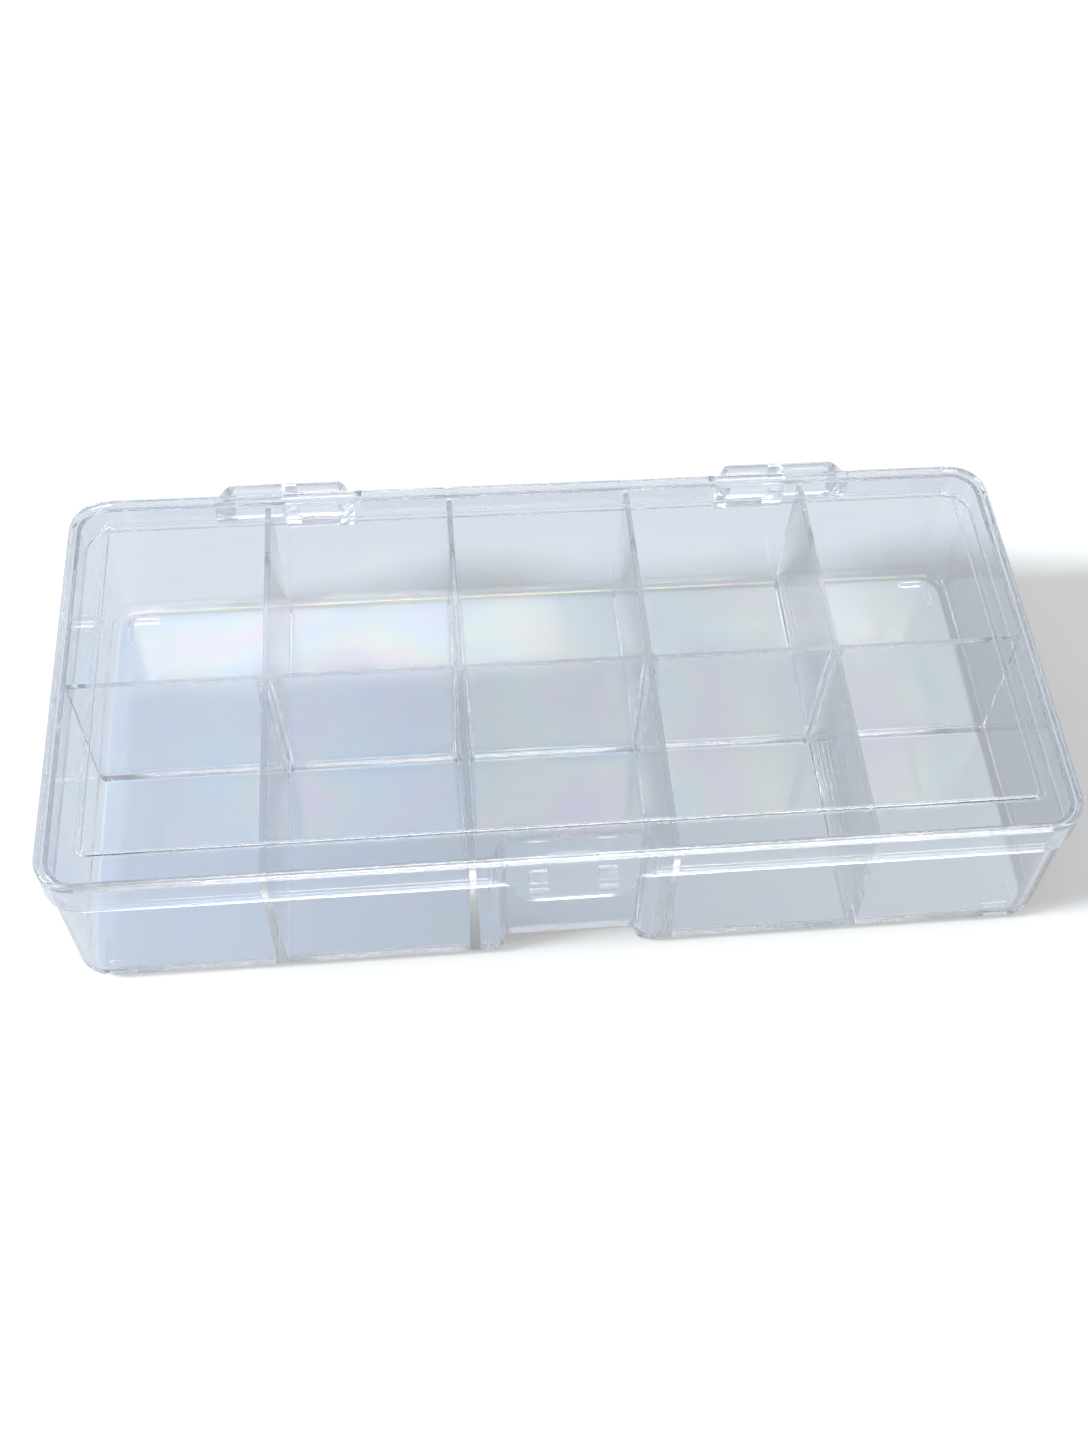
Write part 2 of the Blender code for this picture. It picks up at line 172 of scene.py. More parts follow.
def loft(name, rings):
    """A closed body through rings that all have the same number of points."""
    least_gap = 0.0005 * MM
    bm = bmesh.new()
    rows = [[bm.verts.new(p) for p in ring] for ring in rings]
    for low, high in zip(rows, rows[1:]):
        add_sides(bm, low, high)
    bm.faces.new(list(reversed(rows[0])))
    bm.faces.new(rows[-1])
    bmesh.ops.remove_doubles(bm, verts=bm.verts, dist=least_gap)
    return new_object(name, bm)


def profile_rings(profile, x0, x1, y0, y1, corner):
    """Rings from (inset, height) pairs. The corner radius shrinks as the inset grows."""
    least_corner = 0.05 * MM
    return [
        round_rect(x0 + d, x1 - d, y0 + d, y1 - d, max(corner - d, least_corner), z)
        for d, z in profile
    ]


def arc(cx, cy, radius, start, end, steps=arc_steps):
    """Pairs round a centre, by angles in degrees: places, or (inset, height) of a profile."""
    angles = [math.radians(start + (end - start) * i / steps) for i in range(steps + 1)]
    return [(cx + radius * math.cos(a), cy + radius * math.sin(a)) for a in angles]


# Views that an outline is drawn in. Depth runs up in PLAN, forwards in FRONT, rightwards in SIDE
PLAN = Matrix.Identity(4)
FRONT = Matrix(((1, 0, 0, 0), (0, 0, -1, 0), (0, 1, 0, 0), (0, 0, 0, 1)))
SIDE = Matrix(((0, 0, 1, 0), (1, 0, 0, 0), (0, 1, 0, 0), (0, 0, 0, 1)))


def soften_edges(bm, width, least_angle):
    """Rounds each edge where the faces turn by more than least_angle."""
    sharp = [e for e in bm.edges if e.calc_face_angle(0.0) > least_angle]
    bmesh.ops.bevel(
        bm, geom=sharp, offset=width, segments=soft_segments, profile=round_profile,
        affect="EDGES", clamp_overlap=True,
    )


def prism(name, outline, view, start, end, soften=0.0):
    """An outline drawn in one view and carried through its depth, with softened edges."""
    bm = bmesh.new()
    low = [bm.verts.new((u, v, start)) for u, v in outline]
    high = [bm.verts.new((u, v, end)) for u, v in outline]
    add_sides(bm, low, high)
    bm.faces.new(list(reversed(low)))
    bm.faces.new(high)
    bmesh.ops.recalc_face_normals(bm, faces=bm.faces)
    if soften:
        soften_edges(bm, soften, prism_edge_angle)
        # A twisted face would leave open edges where a Boolean cuts it
        bmesh.ops.connect_verts_nonplanar(bm, angle_limit=twist_limit, faces=bm.faces)
    bm.transform(view)
    return new_object(name, bm)


def rectangle(x0, x1, y0, y1):
    return [(x0, y0), (x1, y0), (x1, y1), (x0, y1)]


def tube(name, radius, x0, x1):
    """A round bar along the hinge's axis."""
    last = 360.0 - 360.0 / tube_steps
    outline = arc(axis_y, axis_z, radius, 0.0, last, tube_steps - 1)
    return prism(name, outline, SIDE, x0, x1)


def combine(target, operation, *others):
    for other in others:
        modifier = target.modifiers.new(operation, "BOOLEAN")
        modifier.operation = operation
        modifier.solver = "EXACT"
        modifier.object = other


def evaluated(obj):
    """The object's mesh after its Booleans."""
    bpy.context.view_layer.update()
    graph = bpy.context.evaluated_depsgraph_get()
    mesh = bpy.data.meshes.new_from_object(obj.evaluated_get(graph))
    bm = bmesh.new()
    bm.from_mesh(mesh)
    bpy.data.meshes.remove(mesh)
    return bm


def trimmed(name, outline, view, start, end, plan):
    """A prism kept inside a second one, with its edges softened."""
    soft_width = 0.3 * MM
    body = prism(name, outline, view, start, end)
    combine(body, "INTERSECT", prism(name + "_plan", plan, PLAN, 0.0, far_above_box))
    bm = evaluated(body)
    bmesh.ops.dissolve_limit(bm, angle_limit=flat_angle, verts=bm.verts, edges=bm.edges)
    soften_edges(bm, soft_width, trimmed_edge_angle)
    return new_object(name + "_soft", bm)


def settle(obj, name):
    """The finished piece: Booleans applied, moved to its place in the frame, shaded smooth."""
    bm = evaluated(obj)
    bmesh.ops.remove_doubles(bm, verts=bm.verts, dist=merge_distance)
    bmesh.ops.dissolve_degenerate(bm, edges=bm.edges, dist=merge_distance)
    bmesh.ops.recalc_face_normals(bm, faces=bm.faces)
    bm.transform(Matrix.Translation((0.0, box_shift, 0.0)))
    mesh = bpy.data.meshes.new(name)
    bm.to_mesh(mesh)
    bm.free()
    mesh.shade_smooth()
    mesh.set_sharp_from_angle(angle=smooth_angle)
    piece = bpy.data.objects.new(name, mesh)
    bpy.context.scene.collection.objects.link(piece)
    weighted = piece.modifiers.new("weighted_normals", "WEIGHTED_NORMAL")
    weighted.keep_sharp = True
    weighted.weight = 100
    return piece


# Hinge ears, which the tray and the lid share
def ear_side(root_y, root_below, root_above):
    tip = arc(axis_y, axis_z, ear_radius, -90.0, 90.0, ear_steps)
    return [(root_y, axis_z - root_below)] + tip + [(root_y, axis_z + root_above)]


def ear_top(start_x, end_x, root_y, side):
    """Seen from above: straight where two ears meet, flared towards the wall at the other end."""
    flare = 3.9 * MM
    flare_run = 6.2 * MM
    bend_share = 0.86
    flared_x = end_x + flare * (1.0 if end_x > start_x else -1.0)
    tip = axis_y + ear_radius + overrun
    bend = axis_y + bend_share * ear_radius
    shoulder = bend - flare_run
    seat = root_y - ear_seat
    points = [(start_x, seat), (flared_x, seat), (flared_x, shoulder)]
    points += [(end_x, bend), (end_x, tip), (start_x, tip)]
    return [(side * x, y) for x, y in points]


# Tray
def pocket(name, x0, x1, y0, y1, sides):
    """What one compartment takes out of the tray: draft on its sides and a fillet at its floor.

    sides says which of x0, x1, y0, y1 is a divider. The others reach into the outer wall and are
    trimmed there.
    """
    beyond = 1.2 * MM
    fillet_width = 0.9 * MM
    fillet_height = 1.4 * MM
    fillet_steps = 6
    foot_corner = 1.5 * MM
    top_corner = 1.2 * MM
    corners = 8
    lip = 0.3 * MM
    pocket_lip_steps = 4
    draft = 0.5 * MM
    above = 1.0 * MM

    def ring(inset, z, radius):
        d = [inset if side else -beyond for side in sides]
        return round_rect(x0 + d[0], x1 - d[1], y0 + d[2], y1 - d[3], radius, z, corners)

    rings = []
    for i in range(fillet_steps + 1):
        a = math.radians(90.0 * i / fillet_steps)
        inset = fillet_width * (1.0 - math.sin(a))
        rings.append(ring(inset, floor_top + fillet_height * (1.0 - math.cos(a)), foot_corner))
    for inset, z in arc(-draft - lip, divider_top - lip, lip, 0.0, 90.0, pocket_lip_steps):
        rings.append(ring(inset, z, top_corner))
    rings.append(ring(-draft - lip, divider_top + above, top_corner))
    return loft(name, rings)


def recess_plan(grow):
    """The latch recess from above, or with grow, the back of the wall that goes round it."""
    before = 5.0 * MM
    mouth_steps = 14
    corner_arc_steps = 8
    side = recess_half + grow
    depth = recess_y + grow
    radius = recess_mouth - grow
    corner = recess_corner + grow
    mouth = tray_front + grow
    right = [(side + radius, mouth - before)]
    right += arc(side + radius, mouth + radius, radius, 270.0, 180.0, mouth_steps)
    right += arc(side - corner, depth - corner, corner, 0.0, 90.0, corner_arc_steps)
    return right + [(-x, y) for x, y in reversed(right)]


def tray_outer():
    low = bottom_radius
    profile = arc(low, floor_bottom + low, low, 270.0, 180.0, bottom_steps)
    profile += arc(small_round, ledge_top - small_round, small_round, 180.0, 90.0, lip_steps)
    profile += [(ledge, ledge_top)]
    profile += arc(ledge + small_round, rim_top - small_round, small_round, 180.0, 90.0, lip_steps)
    rings = profile_rings(
        profile, -tray_half_length, tray_half_length, tray_front, tray_back, tray_corner
    )
    return loft("tray_outer", rings)


def tray_inner(x_in, y_in):
    low = bottom_radius
    lip = 0.35 * MM
    profile = arc(low, floor_top + low, low, 270.0, 180.0, bottom_steps)
    profile += arc(-lip, rim_top - lip, lip, 0.0, 90.0, lip_steps)
    profile += [(-lip, rim_top + overrun)]
    corner = tray_corner - wall
    return loft("interior", profile_rings(profile, -x_in, x_in, y_in[0], y_in[1], corner))


def compartments():
    """All that is hollow inside the tray: ten pockets, joined above the dividers."""
    x_in = tray_half_length - wall
    y_in = (tray_front + wall, tray_back - wall)
    interior = tray_inner(x_in, y_in)
    bulge = prism("bulge", recess_plan(wall), PLAN, -overrun, far_above_box)
    above = rectangle(-half_length, half_length, -half_width, half_width)
    cores = prism("cores", above, PLAN, divider_top, above_box)
    edges = [-x_in] + list(divider_xs) + [x_in]
    foot = divider_foot_half
    last = column_count - 1
    for row, (y0, y1) in enumerate(((y_in[0], -foot), (foot, y_in[1]))):
        for i in range(column_count):
            x0 = edges[i] + (foot if i else 0.0)
            x1 = edges[i + 1] - (foot if i < last else 0.0)
            sides = (i > 0, i < last, row == 1, row == 0)
            combine(cores, "UNION", pocket(f"pocket_{row}_{i}", x0, x1, y0, y1, sides))
    combine(cores, "INTERSECT", interior)
    combine(cores, "DIFFERENCE", bulge)
    return cores


def tray_ear(side):
    """A hinge ear with a round socket and the slot that the lid's pin snaps in through."""
    ear_start = 56.4 * MM
    ear_end = 45.1 * MM
    root_half_height = 3.4 * MM
    socket_radius = 1.5 * MM
    socket_start = 53.5 * MM
    slot_start = 54.0 * MM
    cut_end = 60.0 * MM
    slot_half = 1.15 * MM
    slot_reach = 7.0 * MM
    slot_lean = math.radians(26.0)
    root_y = tray_back - ledge
    ear = trimmed(
        "tray_ear", ear_side(root_y - ear_seat, root_half_height, root_half_height), SIDE,
        -half_length, half_length, ear_top(ear_start, ear_end, root_y, side),
    )
    socket = tube("socket", socket_radius, *sorted((side * socket_start, side * cut_end)))
    lean = Matrix.Rotation(-slot_lean, 2)
    outline = [lean @ Vector(p) for p in rectangle(-slot_half, slot_half, 0.0, slot_reach)]
    outline = [(axis_y + p.x, axis_z + p.y) for p in outline]
    slot = prism("slot", outline, SIDE, *sorted((side * slot_start, side * cut_end)))
    combine(ear, "DIFFERENCE", socket, slot)
    return ear


def catch_ends(side):
    return sorted((side * catch_start, side * catch_end))


def catch_ridge(side):
    """A short ledge on the recess wall, under which the tab's hook snaps."""
    low = 26.2 * MM
    high = 28.2 * MM
    root = 0.8 * MM
    proud = 2.5 * MM
    chamfer = 0.4 * MM
    edge_height = 0.8 * MM
    soft_width = 0.18 * MM
    seat = recess_y + root
    tip = recess_y - proud
    outline = [(seat, low), (tip + chamfer, low), (tip, low + chamfer), (tip, low + edge_height)]
    outline += [(recess_y, high), (seat, high)]
    return prism("catch", outline, SIDE, *catch_ends(side), soft_width)


def stacking_foot(x_side, y_side):
    x0 = 95.4 * MM
    x1 = 96.8 * MM
    y0 = 44.1 * MM
    y1 = 45.5 * MM
    leg = 7.0 * MM
    root = 0.9 * MM
    soft_width = 0.3 * MM
    outline = [(x0, y0), (x1 - leg, y0), (x1 - leg, y1), (x1, y1), (x1, y1 - leg), (x0, y1 - leg)]
    outline = [(x * x_side, y * y_side) for x, y in outline]
    return prism("foot", outline, PLAN, 0.0, floor_bottom + root, soft_width)


def tray():
    body = tray_outer()
    recess = prism("recess", recess_plan(0.0), PLAN, -overrun, above_box)
    combine(body, "DIFFERENCE", recess, compartments())
    for side in (-1.0, 1.0):
        combine(body, "UNION", tray_ear(side))
    combine(body, "UNION", catch_ridge(-1.0), catch_ridge(1.0))
    for x_side in (-1.0, 1.0):
        for y_side in (-1.0, 1.0):
            combine(body, "UNION", stacking_foot(x_side, y_side))
    return settle(body, "base_moulding")


# Lid
def panel_rings(profile, corner):
    """Rings of the raised panel's border."""
    x = half_length - panel_inset_ends
    y = half_width - panel_inset_sides
    return [round_rect(d - x, x - d, d - y, y - d, corner, z) for d, z in profile]


def shell_rings(profile):
    """Rings of the lid's edge and skirt."""
    return profile_rings(
        profile, -half_length, half_length, -half_width, half_width, lid_corner
    )


def lid_shell():
    """From the top of the panel down the outside of the skirt and up inside to the plate."""
    panel_round = 0.35 * MM
    panel_lean = 0.45 * MM
    foot_round = 0.2 * MM
    edge = 0.8 * MM
    inner = 0.7 * MM
    inset = 1.0 * MM
    under_round = 0.25 * MM
    under_lean = 0.4 * MM
    top_corner = 1.8 * MM
    foot_corner = 2.0 * MM
    under_corner = 1.3 * MM
    panel_steps = 4
    edge_steps = 6
    inner_steps = 5
    under = plate_bottom + panel_height
    low = skirt_bottom + small_round
    deep = skirt - small_round
    border = arc(panel_lean, panel_top - panel_round, panel_round, 90.0, 165.0, panel_steps)
    border_foot = arc(-foot_round, lid_edge_top + foot_round, foot_round, 345.0, 270.0, lip_steps)
    lid_edge = arc(edge, lid_edge_top - edge, edge, 90.0, 180.0, edge_steps)
    skirt_outside = arc(small_round, low, small_round, 180.0, 270.0, lip_steps)
    skirt_inside = arc(deep, low, small_round, 270.0, 360.0, lip_steps)
    plate_corner = arc(skirt + inner, plate_bottom - inner, inner, 180.0, 90.0, inner_steps)
    under_edge = arc(
        inset - under_round, plate_bottom + under_round, under_round, 270.0, 345.0, panel_steps
    )
    under_top = arc(inset + under_lean, under - under_round, under_round, 165.0, 90.0, lip_steps)
    rings = panel_rings(border, top_corner) + panel_rings(border_foot, foot_corner)
    rings += shell_rings(lid_edge + skirt_outside + skirt_inside + plate_corner)
    rings += panel_rings(under_edge, top_corner) + panel_rings(under_top, under_corner)
    return loft("lid_shell", rings)


def latch_tab():
    """The tab that hangs from the skirt's front, a little behind the skirt's own face."""
    side = 12.0 * MM
    corner = 4.6 * MM
    root = 1.2 * MM
    root_radius = 1.2 * MM
    root_flare = 1.6 * MM
    back_inset = 0.1 * MM
    front_inset = 0.12 * MM
    soft_width = 0.12 * MM
    root_steps = 6
    low = skirt_bottom - root_radius
    right = [(side + root_flare, skirt_bottom + root)]
    right += arc(side + root_radius, low, root_radius, 90.0, 180.0, root_steps)
    right += arc(side - corner, tab_bottom + corner, corner, 0.0, -90.0)
    outline = right + [(-x, z) for x, z in reversed(right)]
    back = half_width - skirt + back_inset
    return prism("tab", outline, FRONT, back, half_width - front_inset, soft_width)


def tab_hook(side):
    low = 24.0 * MM
    high = 25.8 * MM
    root = 0.6 * MM
    proud = 1.0 * MM
    soft_width = 0.4 * MM
    face = -half_width + skirt
    tip = face + proud
    outline = [(face - root, low), (face, low), (tip, (low + high) / 2), (tip, high)]
    outline += [(face - root, high)]
    return prism("hook", outline, SIDE, *catch_ends(side), soft_width)


def notch(side):
    """What leaves the back skirt open for the tray's ear."""
    start = 56.9 * MM
    end = 39.4 * MM
    bend = 1.8 * MM
    top = axis_z + 3.9 * MM
    outline = [(start, below_skirt), (start, top)]
    outline += arc(end + bend, top - bend, bend, 90.0, 180.0)
    outline += [(end, below_skirt)]
    outline = [(side * x, z) for x, z in outline]
    return prism("notch", outline, FRONT, behind_box, before_back_skirt)


def lid_ear(side):
    """A hinge ear with the pin that turns in the tray's socket."""
    ear_start = 57.2 * MM
    ear_end = 67.9 * MM
    root_below = 2.3 * MM
    root_above = 4.4 * MM
    pin_radius = 1.4 * MM
    pin_start = 54.0 * MM
    pin_end = 62.0 * MM
    ear = trimmed(
        "lid_ear", ear_side(half_width - ear_seat, root_below, root_above), SIDE,
        -half_length, half_length, ear_top(ear_start, ear_end, half_width, side),
    )
    pin = tube("pin", pin_radius, *sorted((side * pin_start, side * pin_end)))
    combine(ear, "UNION", pin)
    return ear


def lid():
    body = lid_shell()
    lift_half = half_length - lid_corner
    glow_and_painted_light = rectangle(-lift_half, lift_half, below_skirt, skirt_bottom + back_skirt_lift)
    glow_and_painted_light = prism("glow_and_painted_light", glow_and_painted_light, FRONT, behind_box, before_back_skirt)
    combine(body, "DIFFERENCE", glow_and_painted_light)
    for side in (-1.0, 1.0):
        combine(body, "DIFFERENCE", notch(side))
        combine(body, "UNION", lid_ear(side))
    combine(body, "UNION", latch_tab(), tab_hook(-1.0), tab_hook(1.0))
    return settle(body, "lid_moulding")


# Node helpers: an operand is a socket, which is linked, or a value
def feed(tree, socket, value):
    if isinstance(value, bpy.types.NodeSocket):
        tree.links.new(value, socket)
    else:
        socket.default_value = value


def add_node(tree, kind, settings=None, **inputs):
    """A new node. An input's name has _ for its blanks."""
    node = tree.nodes.new(kind)
    for name, value in (settings or {}).items():
        setattr(node, name, value)
    for name, value in inputs.items():
        feed(tree, node.inputs[name.replace("_", " ")], value)
    return node


def maths(tree, operation, a, b):
    node = add_node(tree, "ShaderNodeMath", {"operation": operation})
    feed(tree, node.inputs[0], a)
    feed(tree, node.inputs[1], b)
    return node.outputs[0]


def vector_maths(tree, operation, a, b=None):
    node = add_node(tree, "ShaderNodeVectorMath", {"operation": operation})
    feed(tree, node.inputs[0], a)
    if b is not None:
        feed(tree, node.inputs[1], b)
    return node.outputs["Value" if operation in ("LENGTH", "DOT_PRODUCT") else "Vector"]


def ramp(tree, value, low, high, kind="SMOOTHERSTEP"):
    """From 0 at low to 1 at high, also where low is the larger."""
    node = add_node(
        tree, "ShaderNodeMapRange", {"interpolation_type": kind},
        Value=value, From_Min=low, From_Max=high,
    )
    return node.outputs["Result"]


def blended(tree, factor, a, b):
    """Colour a where factor is 0 and b where it is 1."""
    node = add_node(tree, "ShaderNodeMix", {"data_type": "RGBA"})
    feed(tree, node.inputs["Factor"], factor)
    for slot, value in (("A", a), ("B", b)):
        feed(tree, node.inputs[slot], (*value, 1.0) if isinstance(value, tuple) else value)
    return node.outputs["Result"]


def product(tree, factors):
    result = factors[0]
    for factor in factors[1:]:
        result = maths(tree, "MULTIPLY", result, factor)
    return result


def through_rays(tree, path):
    """1 for a ray that has gone through the plastic or off it."""
    glossy = path.outputs["Is Glossy Ray"]
    return maths(tree, "MAXIMUM", glossy, path.outputs["Is Transmission Ray"])


# Materials
def pearly_film(tree, place):
    """Thickness in nanometres of the film that shimmers on the tray's floor, and nowhere above."""
    film_top = floor_top + 0.8 * MM
    patches = add_node(
        tree, "ShaderNodeTexNoise", Vector=place, Scale=42.0, Detail=2.0, Distortion=0.6
    )
    film = add_node(
        tree, "ShaderNodeMapRange", Value=patches.outputs["Fac"],
        From_Min=0.3, From_Max=0.7, To_Min=285.0, To_Max=500.0,
    )
    split = add_node(tree, "ShaderNodeSeparateXYZ", Vector=place)
    low = maths(tree, "LESS_THAN", split.outputs["Z"], film_top)
    return maths(tree, "MULTIPLY", film.outputs["Result"], low)


def clear_plastic(name, roughness, ripple, pearly):
    """Clear polystyrene: rippled surface, a little absorption inside, a light shadow."""
    tint = (0.968, 0.978, 0.996, 1.0)
    material = bpy.data.materials.new(name)
    material.use_nodes = True
    tree = material.node_tree
    shader = tree.nodes["Principled BSDF"]
    output = tree.nodes["Material Output"]
    shader.inputs["Base Color"].default_value = tint
    shader.inputs["Roughness"].default_value = roughness
    shader.inputs["IOR"].default_value = 1.59
    shader.inputs["Transmission Weight"].default_value = 1.0
    place = add_node(tree, "ShaderNodeTexCoord").outputs["Object"]
    if pearly:
        tree.links.new(pearly_film(tree, place), shader.inputs["Thin Film Thickness"])
        shader.inputs["Thin Film IOR"].default_value = 1.45
    waves = add_node(tree, "ShaderNodeTexNoise", Vector=place, Scale=70.0, Detail=1.0)
    bump = add_node(
        tree, "ShaderNodeBump", Strength=ripple, Distance=0.2 * MM, Height=waves.outputs["Fac"]
    )
    tree.links.new(bump.outputs["Normal"], shader.inputs["Normal"])
    path = add_node(tree, "ShaderNodeLightPath")
    shade = add_node(tree, "ShaderNodeBsdfTransparent", Color=(0.52, 0.525, 0.535, 1.0))
    mix = add_node(tree, "ShaderNodeMixShader")
    tree.links.new(path.outputs["Is Shadow Ray"], mix.inputs[0])
    tree.links.new(shader.outputs[0], mix.inputs[1])
    tree.links.new(shade.outputs[0], mix.inputs[2])
    tree.links.new(mix.outputs[0], output.inputs["Surface"])
    depth = add_node(
        tree, "ShaderNodeVolumeAbsorption", Color=(0.90, 0.895, 0.89, 1.0), Density=36.0
    )
    tree.links.new(depth.outputs[0], output.inputs["Volume"])
    return material


def painted_light_mask(tree, place):
    """Painted light's mask: 1 on the paper under the tray's hollow, 0 outside, corners rounded."""
    corner = 6.0 * MM
    fade_out = 0.6 * MM
    fade_in = 1.2 * MM
    any_height = 9.0
    half_y = (tray_back - tray_front) / 2
    middle = (0.0, (tray_front + tray_back) / 2 + box_shift, 0.0)
    reach = (tray_half_length - wall - corner, half_y - wall - corner, any_height)
    past = vector_maths(tree, "SUBTRACT", place, middle)
    past = vector_maths(tree, "SUBTRACT", vector_maths(tree, "ABSOLUTE", past), reach)
    past = vector_maths(tree, "LENGTH", vector_maths(tree, "MAXIMUM", past, (0.0, 0.0, 0.0)))
    return ramp(tree, past, corner + fade_out, corner - fade_in, "SMOOTHSTEP")


def painted_light_under(tree, place):
    """Painted light on the paper under the tray, from its left end to its right."""
    left = (0.515, 0.595, 0.72, 1.0)
    middle = (0.43, 0.485, 0.56, 1.0)
    right = (0.57, 0.62, 0.63, 1.0)
    middle_share = 0.4
    end_x = 120.0 * MM
    under = add_node(tree, "ShaderNodeValToRGB")
    under.color_ramp.elements[0].color = left
    under.color_ramp.elements[1].color = right
    under.color_ramp.elements.new(middle_share).color = middle
    split = add_node(tree, "ShaderNodeSeparateXYZ", Vector=place)
    along = ramp(tree, split.outputs["X"], -end_x, end_x, "SMOOTHSTEP")
    tree.links.new(along, under.inputs["Fac"])
    return under.outputs["Color"]


def floor_material():
    """White paper, with a glow that takes it to the photograph's white for the camera.

    Through the plastic it is painted darker, a painted shade, and its glow there is painted light
    that stands for the light that the plastic leads down to it.
    """
    material = bpy.data.materials.new("paper_floor")
    material.use_nodes = True
    tree = material.node_tree
    output = tree.nodes["Material Output"]
    tree.nodes.remove(tree.nodes["Principled BSDF"])
    place = add_node(tree, "ShaderNodeTexCoord").outputs["Object"]
    path = add_node(tree, "ShaderNodeLightPath")
    through = through_rays(tree, path)
    paper_tone = (0.96, 0.96, 0.96)
    # Painted shade: the paper seen through the plastic gets a darker tone
    paper_shaded_through = (0.57, 0.58, 0.60)
    glow_seen = (0.375, 0.37, 0.36)
    # Painted light on the paper beside the tray, seen through its walls
    painted_light_beside = (0.32, 0.33, 0.34)
    none = (0.0, 0.0, 0.0)
    tone = blended(tree, through, paper_tone, paper_shaded_through)
    paper = add_node(tree, "ShaderNodeBsdfDiffuse", Color=tone)
    # Painted light under and beside the tray, only for rays through the plastic
    glow_and_painted_light = blended(tree, painted_light_mask(tree, place), painted_light_beside, painted_light_under(tree, place))
    glow_and_painted_light = blended(tree, through, none, glow_and_painted_light)
    glow_and_painted_light = blended(tree, path.outputs["Is Camera Ray"], glow_and_painted_light, glow_seen)
    # The glow is the even white backdrop for the camera, and painted light through the plastic
    glow = add_node(tree, "ShaderNodeEmission", Color=glow_and_painted_light)
    add = add_node(tree, "ShaderNodeAddShader")
    tree.links.new(paper.outputs[0], add.inputs[0])
    tree.links.new(glow.outputs[0], add.inputs[1])
    tree.links.new(add.outputs[0], output.inputs["Surface"])
    return material


base = tray()
top = lid()
for obj in drafts:
    bpy.data.objects.remove(obj, do_unlink=True)

tray_look = clear_plastic("clear_plastic_tray_look", roughness=0.07, ripple=0.15, pearly=True)
lid_look = clear_plastic("clear_plastic_lid_look", roughness=0.02, ripple=0.09, pearly=False)
base.data.materials.append(tray_look)
top.data.materials.append(lid_look)
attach(base, "base")
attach(top, "lid")
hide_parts(*frame["record"]["behaviour"]["bodies"]["base"])
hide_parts("lid")


def paper_floor():
    half_size = 3.0
    below_feet = 0.02 * MM
    bm = bmesh.new()
    bmesh.ops.create_grid(bm, x_segments=1, y_segments=1, size=half_size)
    mesh = bpy.data.meshes.new("floor")
    bm.to_mesh(mesh)
    bm.free()
    mesh.materials.append(floor_material())
    obj = bpy.data.objects.new("floor", mesh)
    bpy.context.scene.collection.objects.link(obj)
    obj.location.z = -below_feet
    return obj


floor = paper_floor()


# Light
def sun(name, towards, strength, spread, colour):
    light = bpy.data.lights.new(name, "SUN")
    light.energy = strength
    light.angle = math.radians(spread)
    light.color = colour
    obj = bpy.data.objects.new(name, light)
    bpy.context.scene.collection.objects.link(obj)
    obj.rotation_euler = Vector(towards).to_track_quat("-Z", "Y").to_euler()


def window_panes(tree, over_x):
    """How bright the window is across its width."""
    stops = (
        (0.02, 0.0), (0.07, 0.7), (0.36, 0.75), (0.50, 0.65), (0.58, 0.15), (0.70, 0.1),
        (0.78, 0.2), (0.86, 0.45), (0.96, 0.1),
    )
    left = -0.272
    right = 0.402
    black = (0.0, 0.0, 0.0, 1.0)
    panes = add_node(tree, "ShaderNodeValToRGB")
    panes.color_ramp.interpolation = "EASE"
    for end in panes.color_ramp.elements:
        end.color = black
    for position, value in stops:
        panes.color_ramp.elements.new(position).color = (value, value, value, 1.0)
    spread = add_node(tree, "ShaderNodeMapRange", Value=over_x, From_Min=left, From_Max=right)
    tree.links.new(spread.outputs["Result"], panes.inputs["Fac"])
    return panes.outputs["Color"]


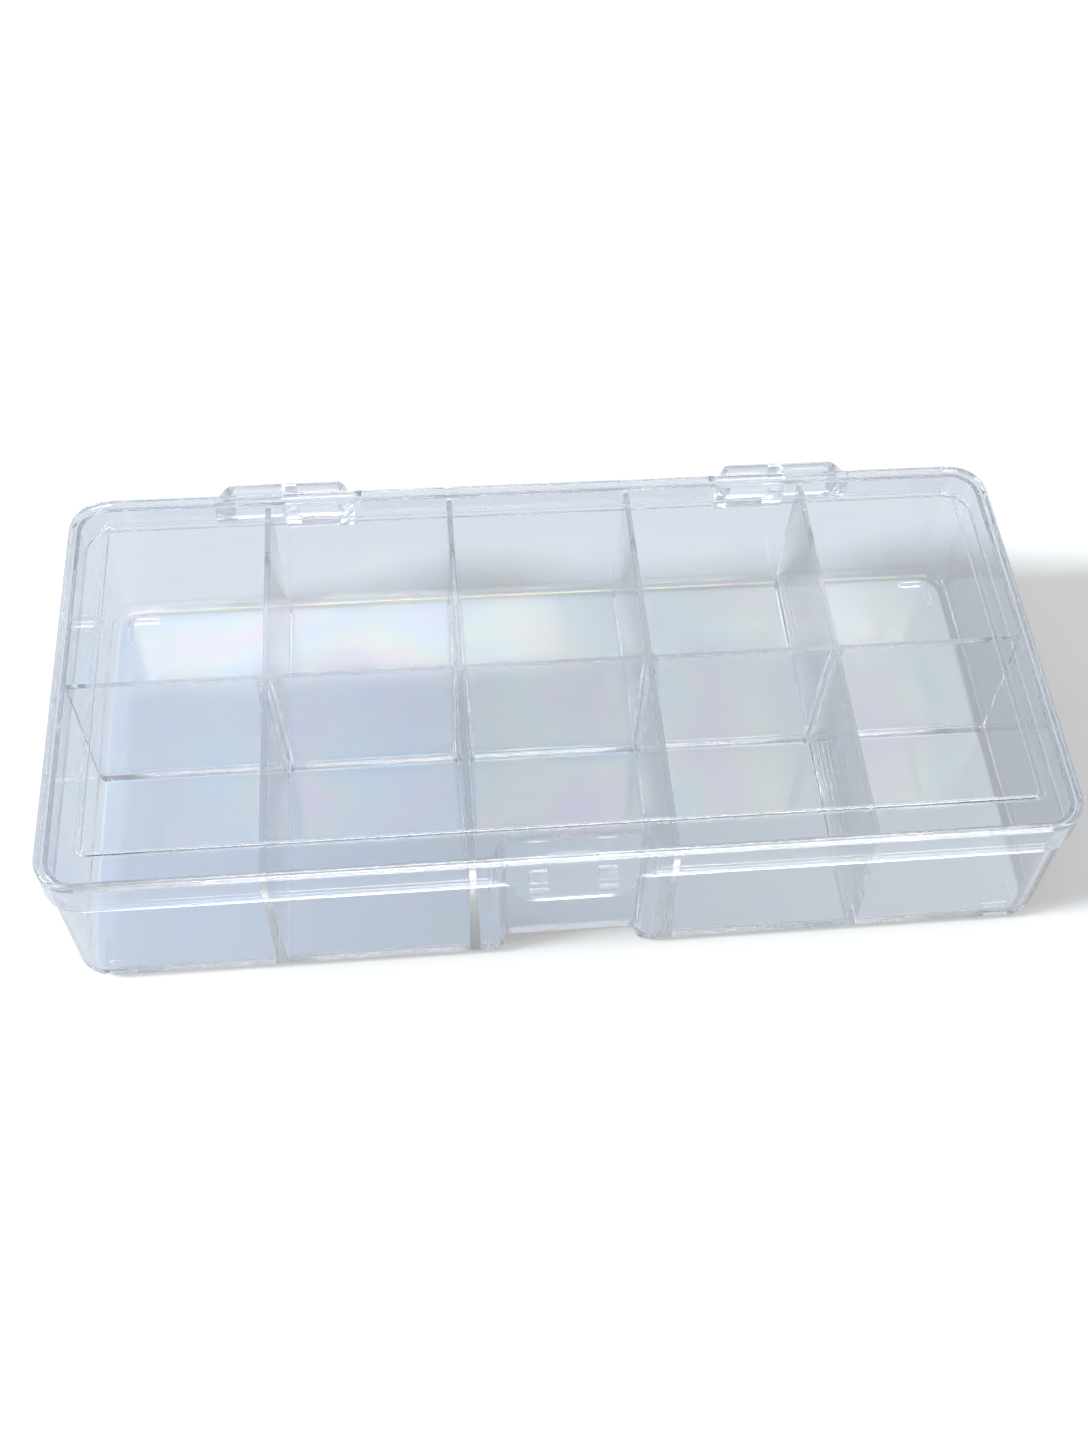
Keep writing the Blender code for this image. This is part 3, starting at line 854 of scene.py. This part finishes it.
def studio_world():
    """White to the camera, and to the plastic a pale room with a window band and a bright patch."""
    world = bpy.data.worlds.new("studio")
    bpy.context.scene.world = world
    world.use_nodes = True
    tree = world.node_tree
    place = add_node(tree, "ShaderNodeTexCoord").outputs["Generated"]
    height = vector_maths(tree, "DOT_PRODUCT", place, (0.0, 0.0, 1.0))
    across = vector_maths(tree, "DOT_PRODUCT", place, (1.0, 0.0, 0.0))
    behind = vector_maths(tree, "DOT_PRODUCT", place, (0.0, 1.0, 0.0))

    # A direction over its height is a place on a level ceiling, so these edges are straight
    least_height = 0.05
    above = maths(tree, "MAXIMUM", height, least_height)
    over_x = maths(tree, "DIVIDE", across, above)
    over_y = maths(tree, "DIVIDE", behind, above)
    band_edges = ((over_y, 0.745, 0.80), (over_y, 0.856, 0.848))
    band = product(tree, [ramp(tree, *edge) for edge in band_edges] + [window_panes(tree, over_x)])

    blinds = add_node(tree, "ShaderNodeTexNoise", Vector=place, Scale=22.0, Detail=2.0)
    patch_edges = (
        (height, 0.70, 0.82), (height, 0.95, 0.88), (across, -0.30, 0.02), (across, 0.42, 0.28),
        (behind, -0.10, -0.25), (blinds.outputs["Fac"], 0.30, 0.48),
    )
    patch = product(tree, [ramp(tree, *edge) for edge in patch_edges])

    horizon = (0.42, 0.45, 0.50)
    walls = (0.74, 0.79, 0.88)
    window = (3.0, 3.0, 3.0)
    bright = (24.0, 24.0, 23.4)
    soft_light = (0.22, 0.225, 0.235)
    white = (1.0, 1.0, 1.0)
    room = blended(tree, ramp(tree, height, 0.04, 0.30), horizon, walls)
    room = blended(tree, band, room, window)
    room = blended(tree, patch, room, bright)
    path = add_node(tree, "ShaderNodeLightPath")
    light = blended(tree, through_rays(tree, path), soft_light, room)
    seen = blended(tree, path.outputs["Is Camera Ray"], light, white)
    tree.links.new(seen, tree.nodes["Background"].inputs["Color"])


sun("window", towards=(1.0, 0.07, -0.72), strength=3.8, spread=16.0, colour=(0.88, 0.95, 1.0))
studio_world()

# Light crosses many walls of clear plastic before it dies out
cycles = bpy.context.scene.cycles
cycles.max_bounces = 96
cycles.transmission_bounces = 96
cycles.glossy_bounces = 96
cycles.transparent_max_bounces = 48
cycles.caustics_refractive = False
cycles.caustics_reflective = False

# Camera, solved from the photograph's straight edges
camera_data = bpy.data.cameras.new("camera")
camera_data.sensor_width = 36.0
camera_data.lens = 39.750
camera_data.shift_x = -0.03860
camera_data.shift_y = 0.04473
camera_data.clip_start = 0.01
camera_data.clip_end = 20.0
camera = bpy.data.objects.new("camera", camera_data)
bpy.context.scene.collection.objects.link(camera)
camera.location = (-22.684 * MM, -209.845 * MM, 301.758 * MM)
camera.rotation_euler = (math.radians(33.4023), math.radians(-2.5051), math.radians(-5.6710))
bpy.context.scene.camera = camera
bpy.context.scene.view_settings.view_transform = "Standard"
